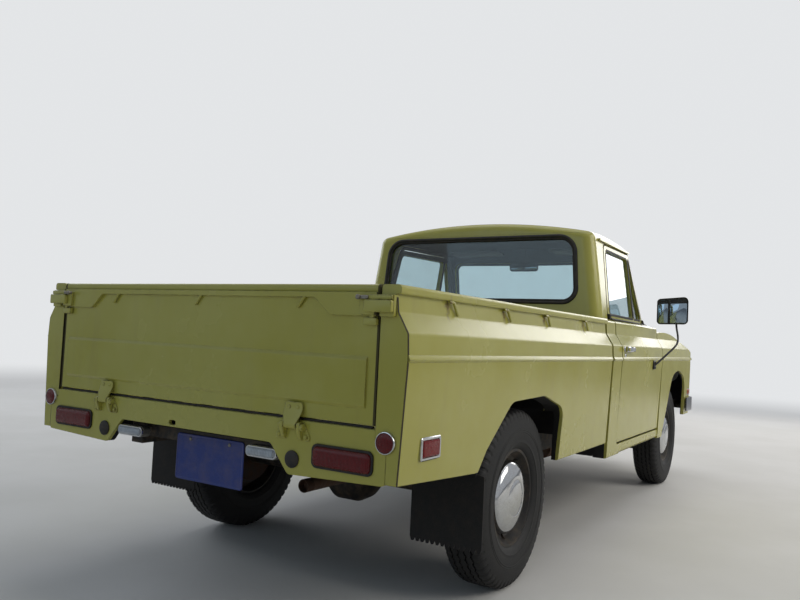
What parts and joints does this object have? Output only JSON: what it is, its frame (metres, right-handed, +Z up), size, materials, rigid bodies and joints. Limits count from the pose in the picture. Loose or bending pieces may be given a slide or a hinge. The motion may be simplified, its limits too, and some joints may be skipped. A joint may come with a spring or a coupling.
{
  "type": "pickup truck",
  "caption": "Compact single-cab pickup truck with an open load bed, hinged doors, hood and tailgate, steered front wheels and turning road wheels.",
  "frame": {"origin": "on the ground below the middle of the truck's overall box", "axes": "+X forward along the truck, +Y to the truck's left, +Z up"},
  "size_m": [4.22, 1.904, 1.5719],
  "materials": {
    "body_paint": "solid yellow-green body colour, weathered, with dents and rust spots",
    "chassis_black": "black frame paint under dust",
    "pipe_steel": "heat-stained steel pipe",
    "cast_iron": "bare casting",
    "radiator_core": "matt black",
    "tinted_glass": "lightly tinted glass",
    "chrome": "worn chrome plate",
    "black_plastic": "black, satin",
    "lamp_glass": "pressed lamp glass",
    "white_lens": "white ribbed lens",
    "amber_lens": "amber lens",
    "red_lens": "dark red lens",
    "seat_vinyl": "black grained vinyl",
    "mirror_back": "black housing",
    "plate_blue": "dark blue, blank",
    "black_rubber": "black rubber",
    "tyre": "black ribbed tyre",
    "wheel_black": "black steel wheel with a domed bright cap"
  },
  "bodies": {
    "chassis": {"backup_lamps": "white_lens", "bed_floor": "body_paint", "bed_headboard": "body_paint", "bed_rear_sill": "body_paint", "bed_side_left": "body_paint", "bed_side_right": "body_paint", "cab_floor": "body_paint", "cab_glass": "tinted_glass", "cab_rear_panel": "body_paint", "cab_roof": "body_paint", "cowl": "body_paint", "crossmembers": "chassis_black", "dashboard": "black_plastic", "door_seals": "black_rubber", "driveshaft": "chassis_black", "engine": "cast_iron", "engine_bay_panels": "body_paint", "exhaust": "pipe_steel", "fender_left": "body_paint", "fender_right": "body_paint", "frame_rails": "chassis_black", "front_arms": "chassis_black", "front_bumper": "chrome", "front_panel": "body_paint", "fuel_tank": "chassis_black", "grille": "black_plastic", "headlamps": "lamp_glass", "interior_mirror": "mirror_back", "lamp_bezels": "black_plastic", "licence_plate": "plate_blue", "mudflaps": "black_rubber", "radiator": "radiator_core", "rear_axle": "chassis_black", "rear_springs": "chassis_black", "seat_back": "seat_vinyl", "seat_cushion": "seat_vinyl", "steering_column": "black_plastic", "tail_lamps": "red_lens", "turn_lamps": "amber_lens", "wheelhouses": "body_paint", "windshield_frame": "body_paint"},
    "door_left": {"door_left": "body_paint", "door_glass_left": "tinted_glass", "mirror_left": "black_plastic"},
    "door_right": {"door_right": "body_paint", "door_glass_right": "tinted_glass", "mirror_right": "black_plastic"},
    "hood": {"hood": "body_paint"},
    "tailgate": {"tailgate": "body_paint"},
    "steering_wheel": {"steering_wheel": "black_plastic"},
    "knuckle_left": {"knuckle_left": "chassis_black"},
    "knuckle_right": {"knuckle_right": "chassis_black"},
    "front_left_wheel": {"tyre_front_left": "tyre", "wheel_front_left": "wheel_black"},
    "front_right_wheel": {"tyre_front_right": "tyre", "wheel_front_right": "wheel_black"},
    "rear_left_wheel": {"tyre_rear_left": "tyre", "wheel_rear_left": "wheel_black"},
    "rear_right_wheel": {"tyre_rear_right": "tyre", "wheel_rear_right": "wheel_black"}
  },
  "joints": [
    {"name": "door_left_hinge", "type": "hinge", "parent": "chassis", "child": "door_left", "pos_m": [0.995, 0.792, 0.72], "axis": [0, 0, -1], "range_deg": [0, 65]},
    {"name": "door_right_hinge", "type": "hinge", "parent": "chassis", "child": "door_right", "pos_m": [0.995, -0.792, 0.72], "axis": [0, 0, 1], "range_deg": [0, 65]},
    {"name": "hood_hinge", "type": "hinge", "parent": "chassis", "child": "hood", "pos_m": [1.048, 0, 1.037], "axis": [0, -1, 0], "range_deg": [0, 50]},
    {"name": "tailgate_hinge", "type": "hinge", "parent": "chassis", "child": "tailgate", "pos_m": [-2.101, 0, 0.64], "axis": [0, -1, 0], "range_deg": [0, 90]},
    {"name": "steer_left", "type": "hinge", "parent": "chassis", "child": "knuckle_left", "pos_m": [1.49, 0.56, 0.328], "axis": [0, 0, 1], "range_deg": [-30, 30]},
    {"name": "front_left_spin", "type": "hinge", "parent": "knuckle_left", "child": "front_left_wheel", "pos_m": [1.49, 0.65, 0.328], "axis": [0, 1, 0], "continuous": true},
    {"name": "rear_left_spin", "type": "hinge", "parent": "chassis", "child": "rear_left_wheel", "pos_m": [-1.15, 0.65, 0.328], "axis": [0, 1, 0], "continuous": true},
    {"name": "steer_right", "type": "hinge", "parent": "chassis", "child": "knuckle_right", "pos_m": [1.49, -0.56, 0.328], "axis": [0, 0, 1], "range_deg": [-30, 30]},
    {"name": "front_right_spin", "type": "hinge", "parent": "knuckle_right", "child": "front_right_wheel", "pos_m": [1.49, -0.65, 0.328], "axis": [0, 1, 0], "continuous": true},
    {"name": "rear_right_spin", "type": "hinge", "parent": "chassis", "child": "rear_right_wheel", "pos_m": [-1.15, -0.65, 0.328], "axis": [0, 1, 0], "continuous": true},
    {"name": "steering_wheel_turn", "type": "hinge", "parent": "chassis", "child": "steering_wheel", "pos_m": [0.65, 0.34, 0.92], "axis": [-0.8387, 0, 0.5446], "range_deg": [-480, 480]}
  ],
  "couplings": [
    {"joint": "steer_right", "follows": "steer_left", "ratio": 1},
    {"joint": "steering_wheel_turn", "follows": "steer_left", "ratio": 16}
  ]
}
